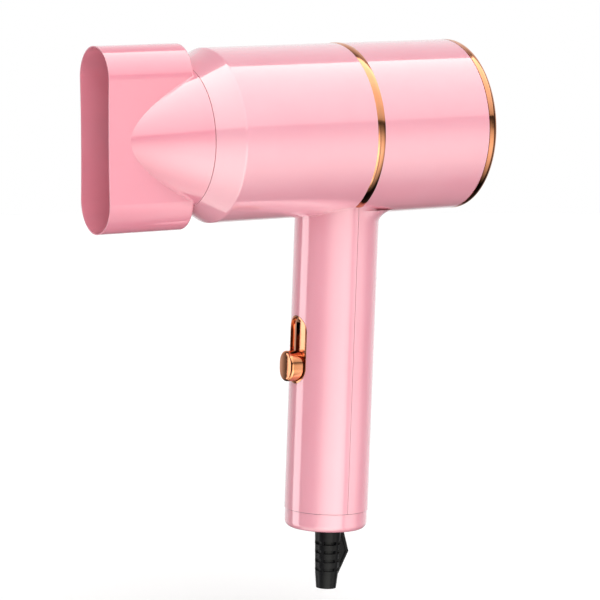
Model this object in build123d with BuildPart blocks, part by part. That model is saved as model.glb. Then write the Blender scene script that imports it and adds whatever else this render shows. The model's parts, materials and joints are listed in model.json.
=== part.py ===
from build123d import *
import os
from math import cos, radians, sin

os.makedirs("parts", exist_ok=True)

# Travel hair dryer: a level barrel with a wide concentrator nozzle at the -X end and an air
# intake at the +X end, on a round upright handle. Units are millimetres, +Z is up.
# The origin is on the handle's axis at the middle of the plain grip below the switch.
# Barrel positions (x) are measured from where the barrel's and the handle's axes cross, and
# handle positions (s) from the same point, down along the handle.

# ---------------------------------------------------------------- driving dimensions
barrel_r = 35.0
wall = 2.4
barrel_in = barrel_r - wall
split_x = -1.28
seam = 0.2
taper_x = -62.8
mouth_x = -73.0
mouth_r = 28.65
mouth_bore = 26.4
rear_x = 49.9

lean = 2.34
handle_r = 17.3
handle_in = handle_r - wall
handle_end = 156.5
grip_centre = 131.0

ring_width = 3.4
ring_depth = 1.1
ring_proud = 0.15

trim_x = 50.2
trim_end = 54.6
trim_in = 30.8

slot_x = -111.5
slot_w = 25.4
slot_h = 74.1
nozzle_back = -74.2
nozzle_gap = 0.35
nozzle_skin = 1.3
slot_waist = 0.5
rim_skin = 0.45
passage_end = -76.0
cone_tip_x = -102.4
neck_r = 24.1
neck_in = 22.6
neck_end = -69.2

switch_s = 90.15
switch_l = 27.9
switch_w = 13.0
knob_s = 96.8
knob_l = 12.6
knob_w = 10.8
knob_proud = 5.0
knob_round = 1.3
stem_w = 2.3

cap_top = 156.7
cap_bottom = 164.4
cap_r = 17.0
boot_shift = 1.4
boot_end = 190.2
cord_bore = 3.1

motor_r = 12.2
shaft_r = 1.0
screw_s = (60.0, 133.0)
clamp_s = 144.0
clamp_y = 5.2
board_s = 92.0
post_s = (75.0, 109.0)
post_y = 6.4

axis_x = grip_centre * sin(radians(lean))
axis_z = grip_centre * cos(radians(lean))

# ---------------------------------------------------------------- planes and helpers
BARREL = Plane(origin=(axis_x, 0, axis_z), x_dir=(1, 0, 0), z_dir=(0, -1, 0))
BARREL_AXIS = Axis((axis_x, 0, axis_z), (1, 0, 0))
DOWN = Vector(-sin(radians(lean)), 0, -cos(radians(lean)))
REARWARD = Vector(cos(radians(lean)), 0, -sin(radians(lean)))
SIDE = Plane(origin=(axis_x, 0, axis_z), x_dir=tuple(REARWARD), z_dir=(0, -1, 0))


def across(x):
    """Plane square to the barrel at x: local x is +Y, local y is +Z, normal is +X."""
    return Plane(origin=(axis_x + x, 0, axis_z), x_dir=(0, 1, 0), z_dir=(1, 0, 0))


def level(s):
    """Plane square to the handle at s: local x is rearward, local y is +Y, normal is up."""
    centre = Vector(axis_x, 0, axis_z) + DOWN * s
    return Plane(origin=tuple(centre), x_dir=tuple(REARWARD), z_dir=tuple(-DOWN))


def facing(depth):
    """Plane in front of the handle's axis by depth: normal is forward, local y is up the handle."""
    centre = Vector(axis_x, 0, axis_z) - REARWARD * depth
    return Plane(origin=tuple(centre), x_dir=(0, -1, 0), z_dir=tuple(-REARWARD))


def turned(points, mode=Mode.ADD):
    """Solid of revolution about the barrel's axis from (x, radius) corners."""
    with BuildSketch(BARREL) as profile:
        with BuildLine():
            Polyline(*points, close=True)
        make_face()
    revolve(profile.sketch, axis=BARREL_AXIS, mode=mode)


def tube(x0, x1, r_out, r_in=0.0, mode=Mode.ADD):
    """Straight tube on the barrel's axis."""
    turned([(x0, r_in), (x1, r_in), (x1, r_out), (x0, r_out)], mode)


def stem(s_low, s_high, r_out, r_in=0.0, shift=0.0, mode=Mode.ADD):
    """Straight tube on the handle's axis from s_low up to s_high."""
    with BuildSketch(level(s_low)) as section:
        with Locations((shift, 0)):
            Circle(r_out)
            if r_in > 0:
                Circle(r_in, mode=Mode.SUBTRACT)
    extrude(section.sketch, amount=s_low - s_high, mode=mode)


def half_stem(s_low, s_high, radius, side, mode=Mode.ADD):
    """Half of a round bar on the handle's axis: side -1 is the front half, +1 the rear."""
    with BuildSketch(level(s_low)) as section:
        Circle(radius)
        with Locations((-side * (radius + 1), 0)):
            Rectangle(2 * (radius + 1) + seam, 2 * radius + 2, mode=Mode.SUBTRACT)
    extrude(section.sketch, amount=s_low - s_high, mode=mode)


def block(s_mid, length, width, depth_in, depth_out, y=0.0, mode=Mode.ADD):
    """Box in the handle between two depths in front of its axis."""
    with BuildSketch(facing(depth_in)) as section:
        with Locations((-y, -s_mid)):
            Rectangle(width, length)
    extrude(section.sketch, amount=depth_out - depth_in, mode=mode)


def pill(s_mid, length, width, depth_in, depth_out, mode=Mode.ADD):
    """Round-ended bar in the handle between two depths in front of its axis."""
    with BuildSketch(facing(depth_in)) as section:
        with Locations((0, -s_mid)):
            SlotOverall(length, width, rotation=90)
    extrude(section.sketch, amount=depth_out - depth_in, mode=mode)


def peg(s_mid, radius, depth_in, depth_out, y=0.0, mode=Mode.ADD):
    """Round bar in the handle, square to its front, between two depths."""
    with BuildSketch(facing(depth_in)) as section:
        with Locations((-y, -s_mid)):
            Circle(radius)
    extrude(section.sketch, amount=depth_out - depth_in, mode=mode)


def slot_loop(x, inset):
    """Face of the flat nozzle's outline at x, drawn in by inset; its long sides are waisted."""
    end_r = slot_w / 2 - inset
    flat = slot_h / 2 - slot_w / 2
    with BuildSketch(across(x)) as outline:
        with BuildLine():
            ThreePointArc((-end_r, flat), (0, flat + end_r), (end_r, flat))
            ThreePointArc((end_r, flat), (end_r - slot_waist, 0), (end_r, -flat))
            ThreePointArc((end_r, -flat), (0, -flat - end_r), (-end_r, -flat))
            ThreePointArc((-end_r, -flat), (-end_r + slot_waist, 0), (-end_r, flat))
        make_face()
    return outline.sketch


def spokes(x0, x1, count, r0, r1, thickness, start=0.0, mode=Mode.ADD):
    """Radial bars about the barrel's axis."""
    with BuildSketch(across(x0)) as section:
        with PolarLocations((r0 + r1) / 2, count, start_angle=start):
            Rectangle(r1 - r0, thickness)
    extrude(section.sketch, amount=x1 - x0, mode=mode)


# ---------------------------------------------------------------- front shell
boss_r = 2.7
pilot_r = 1.55
tongue_in = handle_in - 1.3
rib_in = 29.0

with BuildPart() as front_shell:
    with BuildSketch(BARREL) as skin:
        with BuildLine():
            Polyline((mouth_x, mouth_r), (mouth_x, 0), (split_x - seam / 2, 0),
                     (split_x - seam / 2, barrel_r), (taper_x, barrel_r), close=True)
        make_face()
        fillet(skin.vertices().sort_by_distance((taper_x, barrel_r))[0], 2.0)
    revolve(axis=BARREL_AXIS)
    # Seat for the metal band over the joint of the two shells.
    tube(split_x - ring_width / 2 - 0.05, 0, barrel_r + 1, barrel_r - ring_depth, Mode.SUBTRACT)
    half_stem(handle_end, 8, handle_r, -1)
    turned([(mouth_x - 1, 0), (mouth_x - 1, mouth_bore), (-70, mouth_bore), (-70, 27.9),
            (-68.1, 29.2), (-62.5, barrel_in), (5, barrel_in), (5, 0)], Mode.SUBTRACT)
    stem(handle_end + 1, 12, handle_in, mode=Mode.SUBTRACT)
    # Ribs that hold the heater tube clear of the shell.
    spokes(-61, -20, 4, rib_in, barrel_in + 0.6, 1.6, start=45)
    # Tongues that line up the two handle halves.
    with BuildSketch(level(148)):
        with BuildSketch(mode=Mode.PRIVATE) as root:
            Circle(handle_in + 0.2)
            Circle(tongue_in, mode=Mode.SUBTRACT)
            with Locations((-1.6, 0)):
                Rectangle(3.0, 2 * handle_r, mode=Mode.INTERSECT)
        with BuildSketch(mode=Mode.PRIVATE) as lip:
            Circle(handle_in - 0.2)
            Circle(tongue_in, mode=Mode.SUBTRACT)
            with Locations((-0.3, 0)):
                Rectangle(4.6, 2 * handle_r, mode=Mode.INTERSECT)
        add(root.sketch)
        add(lip.sketch)
    extrude(amount=148 - 44)
    # Screw bosses and the posts under the circuit board.
    for s in screw_s:
        peg(s, boss_r, seam / 2, handle_in + 0.6)
        peg(s, pilot_r, -1, handle_in - 2.6, mode=Mode.SUBTRACT)
    for s in post_s:
        for y in (-post_y, post_y):
            peg(s, 1.5, 6.5, 14.2, y)
    # Opening for the switch bezel.
    pill(switch_s, switch_l + 0.2, switch_w + 0.2, 10, handle_r + 3, Mode.SUBTRACT)

# ---------------------------------------------------------------- rear shell
flare_wide = 14.0
flare_tall = 5.7
flare_sunk = 3.0
flare_steps = [radians(step) for step in (0, 12, 24, 36, 48, 58, 67, 75)]
flare = [(barrel_r - flare_sunk + flare_tall * (1 - sin(step)), flare_wide * (1 - cos(step)))
         for step in flare_steps]
flare_top, flare_reach = flare[-1]
root_r = handle_r - 0.02

with BuildPart() as rear_shell:
    tube(split_x + seam / 2, rear_x, barrel_r)
    tube(-5, split_x + ring_width / 2 + 0.05, barrel_r + 1, barrel_r - ring_depth, Mode.SUBTRACT)
    half_stem(handle_end, 8, handle_r, 1)
    # Flared root that blends the back of the handle into the barrel.
    with BuildPart(mode=Mode.PRIVATE) as root_flare:
        for s, reach in flare:
            with BuildSketch(level(s)):
                Ellipse(root_r + reach, root_r)
        loft(ruled=True)
        with BuildSketch(level(flare_top)) as top:
            Ellipse(root_r + flare_reach, root_r)
        extrude(top.sketch, amount=flare_top - barrel_r + 8)
        with BuildSketch(level(50)):
            with Locations((-30 + seam / 2, 0)):
                Rectangle(60, 60)
        extrude(amount=30, mode=Mode.SUBTRACT)
    add(root_flare.part)
    tube(-5, rear_x + 1, barrel_in, mode=Mode.SUBTRACT)
    stem(handle_end + 1, 12, handle_in, mode=Mode.SUBTRACT)
    for s in screw_s:
        peg(s, 4.3, -handle_in - 0.6, -seam / 2)
        peg(s, 1.75, -handle_r - 1, 1, mode=Mode.SUBTRACT)
        peg(s, 3.0, -handle_r - 1, -11.0, mode=Mode.SUBTRACT)
    # Posts for the cord clamp.
    for y in (-clamp_y, clamp_y):
        peg(clamp_s, 2.2, -14.2, -5.0, y)
        peg(clamp_s, 1.1, -11.5, -4.0, y, Mode.SUBTRACT)

# ---------------------------------------------------------------- bright trim
with BuildPart() as mid_ring:
    with BuildSketch(BARREL):
        with BuildLine():
            x0 = split_x - ring_width / 2
            x1 = split_x + ring_width / 2
            base = barrel_r - ring_depth + 0.05
            Polyline((x0, barrel_r), (x0, base), (x1, base), (x1, barrel_r))
            ThreePointArc((x1, barrel_r), (split_x, barrel_r + ring_proud + 0.1), (x0, barrel_r))
        make_face()
    revolve(axis=BARREL_AXIS)
    # The band stops either side of the handle.
    stem(60, 20, handle_r + 0.12, mode=Mode.SUBTRACT)

with BuildPart() as rear_ring:
    with BuildSketch(BARREL):
        with BuildLine():
            Polyline((51.2, barrel_r), (trim_x, barrel_r), (trim_x, barrel_in - 0.1),
                     (45.2, barrel_in - 0.1), (45.2, 31.2), (trim_x, 31.2), (trim_x, trim_in),
                     (trim_end, trim_in), (trim_end, 32.4))
            ThreePointArc((trim_end, 32.4), (53.75, 34.15), (51.2, barrel_r))
        make_face()
    revolve(axis=BARREL_AXIS)

# ---------------------------------------------------------------- air intake
with BuildPart() as intake_grille:
    tube(50.4, 54.0, trim_in - 0.15, 28.6)
    tube(51.8, 53.8, 6.0)
    for radius in (10.2, 14.8, 19.4, 24.0):
        tube(51.8, 53.6, radius + 0.8, radius - 0.8)
    spokes(51.8, 53.4, 8, 5.0, 29.2, 1.7)

with BuildPart() as filter_screen:
    tube(48.6, 50.2, 30.9, 28.8)
    with BuildSketch(across(49.2)):
        Circle(29.4)
        with HexLocations(1.9, 15, 15):
            RegularPolygon(1.45, 6, mode=Mode.SUBTRACT)
        with BuildSketch(mode=Mode.PRIVATE) as rim:
            Circle(29.4)
            Circle(28.4, mode=Mode.SUBTRACT)
        add(rim.sketch)
        Circle(29.4, mode=Mode.INTERSECT)
    extrude(amount=0.35)

# ---------------------------------------------------------------- air outlet
with BuildPart() as outlet_grille:
    tube(-67.9, -65.7, 29.0, 25.6)
    tube(-67.6, -66.2, 4.0)
    for radius in (9.5, 15.2, 20.9):
        tube(-67.6, -66.2, radius + 0.7, radius - 0.7)
    spokes(-67.6, -66.2, 6, 3.2, 26.4, 1.4, start=30)

# ---------------------------------------------------------------- concentrator nozzle
with BuildPart() as nozzle_body:
    extrude(slot_loop(slot_x, 0), amount=nozzle_back - slot_x)
    fillet(nozzle_body.edges().group_by(Axis.X)[-1], 1.2)
    # Round cone that runs from the barrel's mouth into the flat sides.
    with BuildSketch(BARREL):
        with BuildLine():
            Polyline((cone_tip_x, 11.9), (cone_tip_x, 0), (mouth_x - nozzle_gap, 0),
                     (mouth_x - nozzle_gap, mouth_r))
            ThreePointArc((mouth_x - nozzle_gap, mouth_r), (-88.2, 21.0), (cone_tip_x, 11.9))
        make_face()
    revolve(axis=BARREL_AXIS)
    # Air passage.
    with BuildPart(mode=Mode.PRIVATE) as passage:
        loft([slot_loop(slot_x, rim_skin), slot_loop(passage_end, nozzle_skin)])
    add(passage.part, mode=Mode.SUBTRACT)
    with BuildSketch(BARREL):
        with BuildLine():
            Polyline((-98.0, 10.4), (-98.0, 0), (-75.2, 0), (-75.2, 25.9))
            ThreePointArc((-75.2, 25.9), (-87.4, 18.6), (-98.0, 10.4))
        make_face()
    revolve(axis=BARREL_AXIS, mode=Mode.SUBTRACT)
    # Neck that plugs into the snap ring.
    tube(-75.4, neck_end, neck_r, neck_in)
    tube(-77, neck_end + 1, neck_in, mode=Mode.SUBTRACT)
    # Four snap ribs round the neck.
    spokes(-72.6, -70.2, 4, neck_r - 0.4, neck_r + 0.1, 5.0)

with BuildPart() as nozzle_snap_ring:
    tube(-72.8, -68.2, 26.1, neck_r + 0.35)
    tube(-69.6, -68.2, 27.5, 25.0)

# ---------------------------------------------------------------- fan and motor
duct_in = 29.9
with BuildPart() as motor_mount:
    tube(9, 43, barrel_in - 0.25, duct_in)
    tube(3, 22, motor_r + 2.0, motor_r + 0.1)
    spokes(9, 20, 9, motor_r + 1.8, duct_in + 0.4, 1.3)

with BuildPart() as motor_can:
    tube(-4, 24, motor_r, motor_r - 1.0)
    tube(23, 25.2, 5.0)
    tube(23, 24, motor_r - 0.5)
    tube(20, 26, 3.1, mode=Mode.SUBTRACT)

with BuildPart() as motor_end_bell:
    tube(-6.6, -4.05, motor_r - 0.2)
    tube(-8.2, -4.05, 5.0)
    tube(-9, -3, 3.1, mode=Mode.SUBTRACT)
    # Brush housings on either side of the shaft.
    with BuildSketch(across(-4.05)):
        with PolarLocations(7.4, 2):
            Rectangle(4.6, 4.0)
    extrude(amount=3.6)

with BuildPart() as motor_magnets:
    with BuildSketch(across(2)):
        Circle(motor_r - 1.05)
        Circle(9.6, mode=Mode.SUBTRACT)
        Rectangle(30, 5, mode=Mode.SUBTRACT)
    extrude(amount=17)

with BuildPart() as motor_bearings:
    for x0, x1 in ((-8.0, -4.4), (21.8, 25.0)):
        tube(x0, x1, 3.05, shaft_r + 0.05)

with BuildPart() as armature:
    with BuildSketch(across(3)):
        Circle(9.0)
        Circle(shaft_r + 0.02, mode=Mode.SUBTRACT)
        with PolarLocations(7.6, 5):
            Rectangle(3.4, 1.3, mode=Mode.SUBTRACT)
        with PolarLocations(5.2, 5):
            SlotOverall(2.8, 2.6, rotation=90, mode=Mode.SUBTRACT)
    extrude(amount=14)

with BuildPart() as commutator:
    tube(-3.6, 2.6, 3.4, shaft_r + 0.02)
    spokes(-3.7, 2.0, 5, 2.9, 3.6, 0.35, mode=Mode.SUBTRACT)

with BuildPart() as motor_shaft:
    tube(-9.0, 36.0, shaft_r)

fan_hub = 8.5
fan_tip = 28.7
with BuildPart() as fan:
    turned([(27, shaft_r + 0.02), (27, fan_hub), (34, fan_hub), (36.6, 6.8), (38, 4.0),
            (38, 0), (36.1, 0), (36.1, shaft_r + 0.02)])
    for k in range(7):
        turn = radians(k * 360 / 7)
        radial = Vector(0, cos(turn), sin(turn))
        centre = Vector(axis_x + 31.5, 0, axis_z)
        for reach, pitch in ((fan_hub - 1.2, 52), (fan_tip, 32)):
            section = centre + radial * reach
            with BuildSketch(Plane(origin=tuple(section), x_dir=(1, 0, 0), z_dir=tuple(radial))):
                Rectangle(11, 1.1, rotation=90 - pitch)
        loft()
    tube(26, 36.1, shaft_r + 0.02, mode=Mode.SUBTRACT)

# ---------------------------------------------------------------- heater
coil_r = 20.5
coil_wire = 0.45
coil_pitch = 4.4
coil_turns = 8
coil_start = -57.0
fin_reach = 27.9

with BuildLine() as coil_path:
    Helix(coil_pitch, coil_pitch * coil_turns, coil_r,
          center=(axis_x + coil_start, 0, axis_z), direction=(1, 0, 0))

with BuildPart() as heating_coil:
    with BuildSketch(Plane(origin=coil_path.line @ 0, z_dir=coil_path.line % 0)):
        Circle(coil_wire)
    sweep(path=coil_path.line, is_frenet=True)

with BuildPart() as heater_former:
    spokes(-62, -17, 4, 0.0, fin_reach, 0.9)
    # Holes through which each quarter turn of the wire passes.
    for k in range(4 * coil_turns + 1):
        at = k / (4 * coil_turns)
        with BuildSketch(Plane(origin=coil_path.line @ at, z_dir=coil_path.line % at)):
            Circle(coil_wire + 0.35)
        extrude(amount=1.5, both=True, mode=Mode.SUBTRACT)

with BuildPart() as heater_tube:
    tube(-64.6, -14, 28.7, 28.1)

fuse_x = -36.0
with BuildPart() as thermostat:
    with BuildSketch(Plane.XZ.offset(-0.55)):
        with Locations((axis_x - 20.5, axis_z + 13)):
            Rectangle(6, 12)
    extrude(amount=-2.4)
    with BuildSketch(Plane.XZ.offset(-2.95)):
        with Locations((axis_x - 20.5, axis_z + 11)):
            Rectangle(4, 16)
    extrude(amount=-0.4)

with BuildPart() as thermal_fuse:
    fuse_bar = Plane(origin=(axis_x + fuse_x, -2.3, axis_z - 10), z_dir=(1, 0, 0))
    with BuildSketch(fuse_bar):
        Circle(1.6)
    extrude(amount=9)
    with BuildSketch(fuse_bar.offset(-5)):
        Circle(0.35)
    extrude(amount=19)

# ---------------------------------------------------------------- switch
dish_r = handle_r - 0.9
stem_in = 12.2
with BuildPart() as switch_bezel:
    pill(switch_s, switch_l, switch_w, 12.5, handle_r + 2)
    stem(switch_s + 20, switch_s - 20, handle_r + 0.12, mode=Mode.INTERSECT)
    # Dish in which the knob slides, and the slot for its stem.
    with BuildPart(mode=Mode.PRIVATE) as dish:
        pill(switch_s, switch_l - 1.4, switch_w - 1.4, 13, handle_r + 3)
        stem(switch_s + 20, switch_s - 20, dish_r, mode=Mode.SUBTRACT)
    add(dish.part, mode=Mode.SUBTRACT)
    block(switch_s, 22.4, stem_w + 0.5, 10, handle_r + 2, mode=Mode.SUBTRACT)

with BuildPart() as switch_knob:
    # Round-ended thumb block whose face follows the handle's curve, with soft edges.
    pill(knob_s, knob_l, knob_w, 12, handle_r + knob_proud + 2)
    stem(knob_s + 15, knob_s - 15, handle_r + knob_proud, mode=Mode.INTERSECT)
    stem(knob_s + 15, knob_s - 15, dish_r + 0.2, mode=Mode.SUBTRACT)
    thumb_face = switch_knob.faces().sort_by_distance(facing(30).origin + DOWN * knob_s)[0]
    fillet(thumb_face.edges(), knob_round)
    block(knob_s, 8.6, stem_w, stem_in, handle_r)

with BuildPart() as switch_carrier:
    block(knob_s - 3, 17, 8.0, 11.0, stem_in)

with BuildPart() as switch_base:
    block(switch_s - 0.4, 26, 11, 6.5, 10.6)
    for s in (81.0, 90.0, 99.0):
        block(s, 1.2, 5.0, 10.5, 10.7)

# ---------------------------------------------------------------- electrics in the handle
with BuildPart() as circuit_board:
    block(board_s, 40, 16, 5.2, 6.4)
    for s in post_s:
        for y in (-post_y, post_y):
            peg(s, 0.8, 4, 8, y, Mode.SUBTRACT)

with BuildPart() as diodes:
    for s in (80.0, 85.0, 90.0, 95.0):
        with BuildSketch(Plane(origin=tuple(level(s).origin - REARWARD * 3.7), z_dir=(0, 1, 0))):
            Circle(1.4)
        extrude(amount=2.6, both=True)

with BuildPart() as noise_capacitor:
    block(103, 9, 12, 0.2, 5.2)

lead_r = 0.9


def lead(points):
    """Round insulated wire along a smooth path."""
    with BuildLine() as way:
        Spline(*points)
    with BuildSketch(Plane(origin=way.line @ 0, z_dir=way.line % 0)) as section:
        Circle(lead_r)
    sweep(section.sketch, path=way.line)


def spot(x, y, z):
    """Point given from the crossing of the barrel's and the handle's axes."""
    return (axis_x + x, y, axis_z + z)


with BuildPart() as heater_lead:
    lead([spot(-6, 6.5, -71), spot(-7, 7, -60), spot(-8, 8, -45), spot(-9.5, 7, -32),
          spot(-12.5, 5, -24.5), spot(-15.5, 4, -22)])

with BuildPart() as motor_lead:
    lead([spot(-6, -6.5, -71), spot(-6.5, -7, -60), spot(-6.5, -8, -45), spot(-7.5, -8, -30),
          spot(-9.2, -8, -16), spot(-9.4, -8, -8)])

# ---------------------------------------------------------------- foot of the handle
with BuildPart() as end_cap:
    stem(cap_bottom, cap_top, cap_r)
    fillet(end_cap.edges().sort_by(Axis.Z)[0], 2.6)
    stem(cap_top, 149, handle_in - 0.3)
    stem(161.4, 148, handle_in - 2.3, mode=Mode.SUBTRACT)
    stem(cap_bottom + 1, 148, 5.1, shift=boot_shift, mode=Mode.SUBTRACT)

boot_rows = (171.1, 174.8, 178.5, 182.2)
collar_s = 184.4
with BuildPart() as strain_relief:
    with BuildSketch(level(boot_end)):
        with Locations((boot_shift, 0)):
            Circle(4.15)
    with BuildSketch(level(collar_s)):
        with Locations((boot_shift, 0)):
            Circle(4.75)
    loft()
    with BuildSketch(level(collar_s)):
        with Locations((boot_shift, 0)):
            Circle(4.75)
    with BuildSketch(level(cap_bottom + 0.1)):
        with Locations((boot_shift, 0)):
            Circle(5.5)
    loft()
    # Flexing windows in rows, with webs between them.
    for row, s in enumerate(boot_rows):
        with BuildSketch(level(s + 0.75)):
            with Locations((boot_shift, 0)):
                Circle(7)
                Circle(4.0, mode=Mode.SUBTRACT)
                with PolarLocations(5.5, 5):
                    Rectangle(5, 1.0, mode=Mode.SUBTRACT)
        extrude(amount=1.5, mode=Mode.SUBTRACT)
    # Hanging fin on the rear side, with a shallow panel in each of its flat faces.
    with BuildSketch(SIDE):
        with BuildLine():
            Polyline((boot_shift + 3.4, -cap_bottom - 0.1), (boot_shift + 5.9, -cap_bottom - 0.1),
                     (boot_shift + 9.2, -175.2), (boot_shift + 4.5, -184.6),
                     (boot_shift + 3.4, -184.6), close=True)
        make_face()
    extrude(amount=1.7, both=True)
    with BuildPart(mode=Mode.PRIVATE) as panel:
        with BuildSketch(SIDE.offset(1.25)):
            with BuildLine():
                Polyline((boot_shift + 5.5, -167.5), (boot_shift + 8.1, -175.2),
                         (boot_shift + 5.5, -180.6), close=True)
            make_face()
        extrude(amount=2)
    add(panel.part, mode=Mode.SUBTRACT)
    add(panel.part.mirror(Plane.XZ), mode=Mode.SUBTRACT)
    stem(cap_bottom + 0.1, 161.3, 4.95, shift=boot_shift)
    stem(161.3, 159.2, 8.0, shift=boot_shift)
    stem(boot_end + 1, 158, cord_bore, shift=boot_shift, mode=Mode.SUBTRACT)

with BuildPart() as cord_clamp:
    block(clamp_s, 5.0, 15.0, -4.9, -2.4)
    for y in (-clamp_y, clamp_y):
        peg(clamp_s, 1.4, -6, 0, y, Mode.SUBTRACT)

# ---------------------------------------------------------------- fasteners
with BuildPart() as body_screws:
    for s in screw_s:
        peg(s, 1.45, -11.05, handle_in - 3.2)
        peg(s, 2.7, -12.9, -11.05)
        block(s, 0.8, 4.0, -13.5, -12.3, mode=Mode.SUBTRACT)
        block(s, 4.0, 0.8, -13.5, -12.3, mode=Mode.SUBTRACT)

with BuildPart() as clamp_screws:
    for y in (-clamp_y, clamp_y):
        peg(clamp_s, 1.0, -11.0, -2.35, y)
        peg(clamp_s, 2.1, -2.35, -0.8, y)
        block(clamp_s, 2.8, 0.6, -1.4, -0.2, y, Mode.SUBTRACT)

# ---------------------------------------------------------------- labels and files
subparts = {
    "front_shell": front_shell,
    "rear_shell": rear_shell,
    "mid_ring": mid_ring,
    "rear_ring": rear_ring,
    "intake_grille": intake_grille,
    "filter_screen": filter_screen,
    "outlet_grille": outlet_grille,
    "nozzle_body": nozzle_body,
    "nozzle_snap_ring": nozzle_snap_ring,
    "motor_mount": motor_mount,
    "motor_can": motor_can,
    "motor_end_bell": motor_end_bell,
    "motor_magnets": motor_magnets,
    "motor_bearings": motor_bearings,
    "armature": armature,
    "commutator": commutator,
    "motor_shaft": motor_shaft,
    "fan": fan,
    "heating_coil": heating_coil,
    "heater_former": heater_former,
    "heater_tube": heater_tube,
    "thermostat": thermostat,
    "thermal_fuse": thermal_fuse,
    "switch_bezel": switch_bezel,
    "switch_knob": switch_knob,
    "switch_carrier": switch_carrier,
    "switch_base": switch_base,
    "circuit_board": circuit_board,
    "diodes": diodes,
    "noise_capacitor": noise_capacitor,
    "heater_lead": heater_lead,
    "motor_lead": motor_lead,
    "end_cap": end_cap,
    "strain_relief": strain_relief,
    "cord_clamp": cord_clamp,
    "body_screws": body_screws,
    "clamp_screws": clamp_screws,
}
for name, builder in subparts.items():
    builder.part.label = name
    export_step(builder.part, f"parts/{name}.step")
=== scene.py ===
import json
import math

import bpy
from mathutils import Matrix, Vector


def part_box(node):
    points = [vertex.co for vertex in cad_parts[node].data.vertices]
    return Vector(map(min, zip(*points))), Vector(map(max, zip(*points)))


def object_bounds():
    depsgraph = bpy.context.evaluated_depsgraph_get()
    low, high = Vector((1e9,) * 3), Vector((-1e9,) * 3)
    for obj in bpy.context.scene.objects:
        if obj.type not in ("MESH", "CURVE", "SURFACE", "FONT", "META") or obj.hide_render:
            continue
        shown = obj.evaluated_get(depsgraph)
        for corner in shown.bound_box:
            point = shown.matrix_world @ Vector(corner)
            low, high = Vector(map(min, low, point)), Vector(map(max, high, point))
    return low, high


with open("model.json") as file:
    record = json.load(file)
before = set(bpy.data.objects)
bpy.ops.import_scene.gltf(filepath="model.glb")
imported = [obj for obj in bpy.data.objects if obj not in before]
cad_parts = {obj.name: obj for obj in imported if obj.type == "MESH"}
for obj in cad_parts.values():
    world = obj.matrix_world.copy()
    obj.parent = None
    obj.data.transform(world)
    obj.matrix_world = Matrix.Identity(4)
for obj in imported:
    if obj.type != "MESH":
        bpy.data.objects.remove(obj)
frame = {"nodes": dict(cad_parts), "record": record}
cad_lo, cad_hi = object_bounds()
scene = bpy.context.scene
scene.view_settings.view_transform = "Standard"
scene.view_settings.look = "None"

# Studio: lengths in metres, angles in degrees. Azimuth 0 looks from the -Y side, -90 from -X.
floor_radius = 1.6
floor_drop = 0.02
floor_glow = 0.41
barrel_radius = 0.035
key_strength = 2.2
fill_strength = 0.6
seen_level = 1.0
soft_level = 0.46
camera_azimuth = -30.18
camera_elevation = 7.82
camera_distance = 1.3382
camera_lens = 197.0
aim_from_nozzle = 0.0927
aim_from_top = 0.1062
warm = (1.0, 1.0, 0.90)
white = (1.0, 1.0, 1.0)


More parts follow.
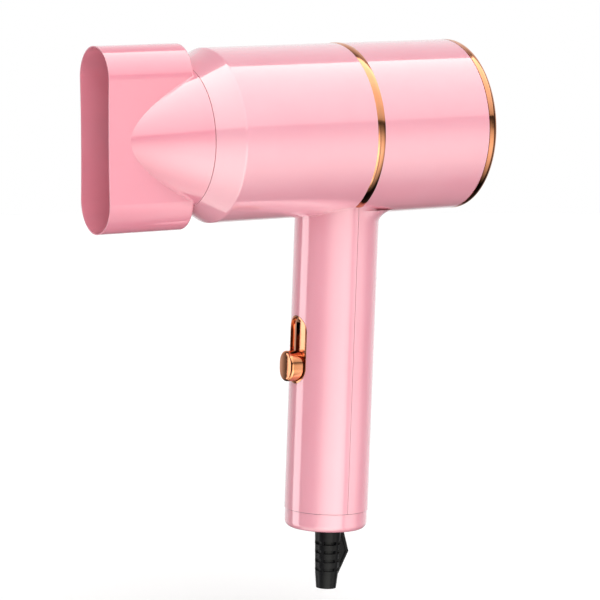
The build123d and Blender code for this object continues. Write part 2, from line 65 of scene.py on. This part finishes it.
# ---------------------------------------------------------------- node helpers
class Graph:
    """A material's node tree with short calls for adding and joining nodes."""

    def __init__(self, name):
        self.material = bpy.data.materials.new(name)
        self.material.use_nodes = True
        self.tree = self.material.node_tree
        self.shader = self.tree.nodes["Principled BSDF"]
        self.place = self.add("ShaderNodeTexCoord").outputs["Object"]

    def add(self, kind, **settings):
        node = self.tree.nodes.new(kind)
        for key, value in settings.items():
            setattr(node, key, value)
        return node

    def feed(self, socket, value):
        if isinstance(value, bpy.types.NodeSocket):
            self.tree.links.new(value, socket)
        elif isinstance(value, (tuple, list)) and len(value) == 3 and socket.type == "RGBA":
            socket.default_value = (*value, 1.0)
        else:
            socket.default_value = value

    def set(self, **values):
        for key, value in values.items():
            self.feed(self.shader.inputs[key.replace("_", " ")], value)

    def stretched(self, scale):
        node = self.add("ShaderNodeMapping")
        self.feed(node.inputs["Vector"], self.place)
        self.feed(node.inputs["Scale"], scale)
        return node.outputs["Vector"]

    def noise(self, scale, detail=3.0, rough=0.5, where=None, distortion=0.0):
        node = self.add("ShaderNodeTexNoise")
        self.feed(node.inputs["Vector"], where or self.place)
        self.feed(node.inputs["Scale"], scale)
        self.feed(node.inputs["Detail"], detail)
        self.feed(node.inputs["Roughness"], rough)
        self.feed(node.inputs["Distortion"], distortion)
        return node.outputs["Fac"]

    def cells(self, scale):
        node = self.add("ShaderNodeTexVoronoi", feature="F1")
        self.feed(node.inputs["Vector"], self.place)
        self.feed(node.inputs["Scale"], scale)
        return node.outputs["Distance"]

    def span(self, value, low, high, to_low=0.0, to_high=1.0):
        node = self.add("ShaderNodeMapRange")
        for key, number in (("Value", value), ("From Min", low), ("From Max", high),
                            ("To Min", to_low), ("To Max", to_high)):
            self.feed(node.inputs[key], number)
        return node.outputs["Result"]

    def maths(self, operation, a, b=0.0):
        node = self.add("ShaderNodeMath", operation=operation)
        self.feed(node.inputs[0], a)
        self.feed(node.inputs[1], b)
        return node.outputs["Value"]

    def blend(self, factor, a, b):
        node = self.add("ShaderNodeMix", data_type="RGBA")
        self.feed(node.inputs["Factor"], factor)
        self.feed(node.inputs[6], a)
        self.feed(node.inputs[7], b)
        return node.outputs[2]

    def bump(self, height, distance, strength=1.0):
        node = self.add("ShaderNodeBump")
        self.feed(node.inputs["Height"], height)
        self.feed(node.inputs["Distance"], distance)
        self.feed(node.inputs["Strength"], strength)
        return node.outputs["Normal"]

    def edge(self, radius, low=0.02, high=0.35):
        """Mask that is 1 on sharp edges."""
        soft = self.add("ShaderNodeBevel", samples=4)
        self.feed(soft.inputs["Radius"], radius)
        hard = self.add("ShaderNodeNewGeometry")
        dot = self.add("ShaderNodeVectorMath", operation="DOT_PRODUCT")
        self.feed(dot.inputs[0], soft.outputs["Normal"])
        self.feed(dot.inputs[1], hard.outputs["Normal"])
        return self.span(self.maths("SUBTRACT", 1.0, dot.outputs["Value"]), low, high)


def gloss_plastic(name, colour, deep, rough=0.16):
    """Shiny moulded plastic: faint cloudiness, orange peel, hairline scuffs and worn edges."""
    g = Graph(name)
    cloud = g.noise(28.0, 3.0)
    base = g.blend(g.span(cloud, 0.35, 0.65), deep, colour)
    speck = g.span(g.cells(900.0), 0.0, 0.10, 0.94, 1.0)
    base = g.blend(g.maths("MULTIPLY", g.maths("SUBTRACT", 1.0, speck), 1.6), base, (0.96, 0.86, 0.87))
    rub = g.edge(0.0006)
    base = g.blend(g.maths("MULTIPLY", rub, 0.22), base, (0.98, 0.84, 0.86))
    smear = g.noise(55.0, 5.0, 0.62, distortion=0.6)
    scuff = g.noise(900.0, 2.0, 0.5, where=g.stretched((1.0, 0.08, 0.08)))
    rough_map = g.maths("ADD", g.span(smear, 0.3, 0.75, rough * 0.75, rough * 1.45),
                        g.span(scuff, 0.62, 0.80, 0.0, 0.07))
    peel = g.noise(420.0, 2.0, 0.5)
    g.set(Base_Color=base, Roughness=rough_map, Normal=g.bump(peel, 0.00002, 0.35),
          IOR=1.55, Coat_Weight=1.0, Coat_Roughness=0.03, Coat_IOR=1.75,
          Subsurface_Weight=0.10, Subsurface_Radius=(0.0016, 0.0007, 0.0007), Subsurface_Scale=1.0)
    return g.material


def plated(name, colour, deep, rough=0.10, brushed=False):
    """Polished plated metal with a soft tint change, fine polishing lines and tiny pits."""
    g = Graph(name)
    tint = g.noise(60.0, 3.0)
    base = g.blend(g.span(tint, 0.3, 0.7), deep, colour)
    along = (1.0, 0.05, 0.05) if brushed else (0.06, 0.06, 1.0)
    line = g.noise(1600.0, 2.0, 0.5, where=g.stretched(along))
    smear = g.noise(90.0, 4.0, 0.6)
    rough_map = g.maths("ADD", g.span(smear, 0.3, 0.75, rough * 0.7, rough * 1.5),
                        g.span(line, 0.5, 0.8, 0.0, 0.08))
    pit = g.span(g.cells(1500.0), 0.0, 0.06, 0.0, 1.0)
    height = g.maths("ADD", g.maths("MULTIPLY", line, 0.25), g.maths("MULTIPLY", pit, 0.5))
    g.set(Base_Color=base, Metallic=1.0, Roughness=rough_map, Normal=g.bump(height, 0.00001, 0.4))
    return g.material


def moulded(name, colour, deep, rough=0.5, grain=1400.0, depth=0.00004, ior=1.5):
    """Moulded or cast surface with a fine grain, mottling and paler edges."""
    g = Graph(name)
    cloud = g.noise(70.0, 4.0, 0.6)
    base = g.blend(g.span(cloud, 0.3, 0.7), deep, colour)
    pale = tuple(min(1.0, 0.02 + 1.25 * c) for c in colour)
    base = g.blend(g.maths("MULTIPLY", g.edge(0.0004), 0.35), base, pale)
    fine = g.noise(grain, 3.0, 0.6)
    rough_map = g.span(g.noise(160.0, 4.0), 0.3, 0.7, rough * 0.85, min(1.0, rough * 1.2))
    g.set(Base_Color=base, Roughness=rough_map, IOR=ior, Normal=g.bump(fine, depth, 0.6))
    return g.material


looks = {
    "shell_pink": gloss_plastic("shell_pink", (0.82, 0.375, 0.445), (0.81, 0.355, 0.425)),
    "nozzle_pink": gloss_plastic("nozzle_pink", (0.81, 0.30, 0.375), (0.80, 0.285, 0.36)),
    "rose_gold": plated("rose_gold", (0.80, 0.36, 0.21), (0.68, 0.27, 0.13)),
    "grille_pink": moulded("grille_pink", (0.72, 0.28, 0.34), (0.66, 0.24, 0.30), 0.38),
    "black_rubber": moulded("black_rubber", (0.009, 0.009, 0.010), (0.005, 0.005, 0.006), 0.30, 1800.0,
                            ior=1.25),
    "dark_nylon": moulded("dark_nylon", (0.035, 0.034, 0.036), (0.022, 0.022, 0.024), 0.45),
    "cream_nylon": moulded("cream_nylon", (0.70, 0.64, 0.50), (0.64, 0.57, 0.44), 0.48),
    "steel": plated("steel", (0.62, 0.62, 0.63), (0.52, 0.52, 0.54), 0.28, True),
    "zinc_steel": plated("zinc_steel", (0.72, 0.70, 0.64), (0.60, 0.59, 0.55), 0.24, True),
    "copper": plated("copper", (0.83, 0.44, 0.26), (0.72, 0.34, 0.18), 0.2, True),
    "bronze": plated("bronze", (0.60, 0.40, 0.20), (0.48, 0.30, 0.14), 0.34),
    "ferrite": moulded("ferrite", (0.09, 0.09, 0.10), (0.06, 0.06, 0.065), 0.6, 900.0),
    "mica": moulded("mica", (0.60, 0.52, 0.36), (0.46, 0.38, 0.24), 0.34, 260.0, 0.00006),
    "nichrome": plated("nichrome", (0.40, 0.37, 0.34), (0.30, 0.27, 0.24), 0.38),
    "board_green": moulded("board_green", (0.03, 0.20, 0.09), (0.02, 0.14, 0.06), 0.3),
    "wire_blue": moulded("wire_blue", (0.03, 0.10, 0.42), (0.02, 0.07, 0.33), 0.35),
    "wire_brown": moulded("wire_brown", (0.18, 0.07, 0.03), (0.13, 0.05, 0.02), 0.35),
}
for part in frame["record"]["subparts"]:
    piece = frame["nodes"][part["node"]]
    piece.data.materials.clear()
    piece.data.materials.append(looks[part["material_slot"]])


# ---------------------------------------------------------------- floor, light and camera
def floor_material():
    """Pale matt floor that glows a little, so that it meets the white background without a line."""
    g = Graph("pale_floor")
    cloud = g.noise(3.0, 4.0)
    base = g.blend(cloud, (0.61, 0.61, 0.61), (0.63, 0.63, 0.63))
    g.set(Base_Color=base, Roughness=g.span(g.noise(25.0), 0.3, 0.7, 0.6, 0.75),
          Normal=g.bump(g.noise(700.0), 0.00005, 0.2),
          Emission_Color=white, Emission_Strength=floor_glow)
    return g.material


bpy.ops.mesh.primitive_circle_add(vertices=96, radius=floor_radius, fill_type="NGON",
                                  location=(0.0, 0.0, cad_lo.z - floor_drop))
floor = bpy.context.object
floor.name = "floor"
floor.data.materials.append(floor_material())
floor.visible_glossy = False

# The panels stand round the point on the barrel's axis above the handle.
barrel_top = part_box("mid_ring")[1].z
centre = Vector((0.0, 0.0, barrel_top - barrel_radius))


def toward(azimuth, elevation):
    """Direction from the dryer to something that stands at these angles."""
    a, e = math.radians(azimuth), math.radians(elevation)
    return Vector((math.sin(a) * math.cos(e), -math.cos(a) * math.cos(e), math.sin(e)))


def joined(tree, operation, a, b):
    """Math node that takes two outputs, or an output and a number."""
    node = tree.nodes.new("ShaderNodeMath")
    node.operation = operation
    for socket, value in zip(node.inputs, (a, b)):
        if isinstance(value, bpy.types.NodeSocket):
            tree.links.new(value, socket)
        else:
            socket.default_value = value
    return node.outputs["Value"]


def profile(tree, source, stops):
    """Piecewise straight curve through stops, each a place from 0 to 1 and a value."""
    node = tree.nodes.new("ShaderNodeFloatCurve")
    line = node.mapping.curves[0]
    top = max(value for _, value in stops)
    line.points[0].location = (stops[0][0], stops[0][1] / top)
    line.points[1].location = (stops[-1][0], stops[-1][1] / top)
    for spot, value in stops[1:-1]:
        line.points.new(spot, value / top)
    for point in line.points:
        point.handle_type = "VECTOR"
    node.mapping.update()
    tree.links.new(source, node.inputs["Value"])
    return joined(tree, "MULTIPLY", node.outputs["Value"], top)


def softbox(name, azimuth, elevation, distance, width, height, up, across, tint):
    """Glowing panel that only shows in reflections. up lists (place 0..1, radiance) from its foot to
    its top. across lists (place 0..1, factor) from its left edge to its right, for someone who stands
    behind it and looks at the dryer."""
    bpy.ops.mesh.primitive_plane_add(size=1.0)
    panel = bpy.context.object
    panel.name = name
    way = toward(azimuth, elevation)
    panel.location = centre + way * distance
    panel.rotation_mode = "QUATERNION"
    panel.rotation_quaternion = way.to_track_quat("Z", "Y")
    panel.scale = (width, height, 1.0)
    glow = bpy.data.materials.new(name)
    glow.use_nodes = True
    tree = glow.node_tree
    tree.nodes.remove(tree.nodes["Principled BSDF"])
    emit = tree.nodes.new("ShaderNodeEmission")
    emit.inputs["Color"].default_value = (*tint, 1.0)
    place = tree.nodes.new("ShaderNodeTexCoord")
    split = tree.nodes.new("ShaderNodeSeparateXYZ")
    tree.links.new(place.outputs["Generated"], split.inputs[0])
    radiance = joined(tree, "MULTIPLY", profile(tree, split.outputs["Y"], up),
                      profile(tree, split.outputs["X"], across))
    tree.links.new(radiance, emit.inputs["Strength"])
    # Clear panels, so that where two cross, neither hides the other.
    clear = tree.nodes.new("ShaderNodeBsdfTransparent")
    both = tree.nodes.new("ShaderNodeAddShader")
    tree.links.new(emit.outputs["Emission"], both.inputs[0])
    tree.links.new(clear.outputs["BSDF"], both.inputs[1])
    tree.links.new(both.outputs["Shader"], tree.nodes["Material Output"].inputs["Surface"])
    panel.data.materials.append(glow)
    panel.visible_camera = False
    panel.visible_diffuse = False
    panel.visible_shadow = False


# Long overhead box, brightest at its top edge.
high_up = ((0, 0.7), (0.43, 1.4), (1, 3.1))
high_across = ((0, 1.5), (0.44, 1.4), (0.56, 1.0), (1, 1.0))
softbox("high_box", 0.0, 58.6, 1.2, 5.0, 2.4, high_up, high_across, warm)

# Front box below it. It fades in and out from foot to top, and a narrow dark gap crosses it.
low_up = ((0, 0), (0.15, 0.15), (0.31, 0.55), (0.44, 1.0), (0.57, 1.2), (0.65, 1.1), (0.77, 0.75),
          (0.86, 0.35), (1, 0.05))
low_across = ((0, 0.2), (0.14, 0.4), (0.26, 1.3), (0.36, 2.1), (0.5, 2.7), (0.565, 1.8), (0.578, 0.5),
              (0.60, 0.5), (0.615, 1.3), (0.75, 1.1), (0.85, 0.5), (1, 0.2))
softbox("low_box", 0.0, -38.0, 1.2, 5.0, 2.57, low_up, low_across, warm)

# Box under the nozzle's cone, and a narrow strip beyond the nozzle.
even = ((0, 1), (1, 1))
under_up = ((0, 1.3), (0.5, 1.2), (0.8, 0.4), (1, 0))
softbox("under_box", -64.0, -58.0, 1.2, 1.6, 1.5, under_up, even, warm)
softbox("left_strip", -123.0, -4.0, 1.0, 0.46, 1.4, ((0, 2.2), (1, 2.2)), even, white)


def soft_sun(name, azimuth, elevation, strength, spread):
    """Wide sun that gives soft light and no highlight."""
    data = bpy.data.lights.new(name, "SUN")
    data.energy, data.angle = strength, math.radians(spread)
    lamp = bpy.data.objects.new(name, data)
    scene.collection.objects.link(lamp)
    lamp.rotation_mode = "QUATERNION"
    lamp.rotation_quaternion = (-toward(azimuth, elevation)).to_track_quat("-Z", "Y")
    lamp.visible_glossy = False


soft_sun("key", 5.0, 56.0, key_strength, 60.0)
soft_sun("fill", -34.0, 6.0, fill_strength, 30.0)

world = bpy.data.worlds.new("studio")
world.use_nodes = True
scene.world = world
sky = world.node_tree
ray = sky.nodes.new("ShaderNodeLightPath")
place = sky.nodes.new("ShaderNodeTexCoord")
split = sky.nodes.new("ShaderNodeSeparateXYZ")
sky.links.new(place.outputs["Generated"], split.inputs[0])
wall_facing = sky.nodes.new("ShaderNodeVectorMath")
wall_facing.operation = "DOT_PRODUCT"
sky.links.new(place.outputs["Generated"], wall_facing.inputs[0])
wall_facing.inputs[1].default_value = (0.50, 0.86, 0.0)


def ramp(source, low, high, to_low, to_high):
    """Smooth step of the world's brightness."""
    node = sky.nodes.new("ShaderNodeMapRange")
    node.interpolation_type = "SMOOTHSTEP"
    sky.links.new(source, node.inputs["Value"])
    for key, number in (("From Min", low), ("From Max", high), ("To Min", to_low), ("To Max", to_high)):
        node.inputs[key].default_value = number
    return node.outputs["Result"]


def either(test, otherwise, chosen):
    """chosen where test is 1, otherwise where it is 0; both are outputs or numbers."""
    node = sky.nodes.new("ShaderNodeMix")
    node.data_type = "FLOAT"
    sky.links.new(test, node.inputs["Factor"])
    for socket, value in ((node.inputs[2], otherwise), (node.inputs[3], chosen)):
        if isinstance(value, bpy.types.NodeSocket):
            sky.links.new(value, socket)
        else:
            socket.default_value = value
    return node.outputs[0]


# Reflections see a dark room with a dark floor and a pale wall behind the dryer, all other rays an
# even soft light, and the camera plain white.
wall = ramp(wall_facing.outputs["Value"], 0.25, 0.95, 0.04, 0.95)
above_floor = ramp(split.outputs["Z"], -0.60, -0.18, 0.05, 1.0)
reflected = joined(sky, "MULTIPLY", wall, above_floor)
level = either(ray.outputs["Is Glossy Ray"], soft_level, reflected)
backdrop = sky.nodes["Background"]
sky.links.new(either(ray.outputs["Is Camera Ray"], level, seen_level), backdrop.inputs["Strength"])
backdrop.inputs["Color"].default_value = (*white, 1.0)

camera_data = bpy.data.cameras.new("camera")
camera = bpy.data.objects.new("camera", camera_data)
scene.collection.objects.link(camera)
camera_data.sensor_width = 36.0
camera_data.lens = camera_lens
aim = Vector((cad_lo.x + aim_from_nozzle, 0.0, cad_hi.z - aim_from_top))
away = toward(camera_azimuth, camera_elevation)
camera.location = aim + away * camera_distance
camera.rotation_mode = "QUATERNION"
camera.rotation_quaternion = (-away).to_track_quat("-Z", "Y")
camera_data.clip_start, camera_data.clip_end = 0.05, 50.0
scene.camera = camera
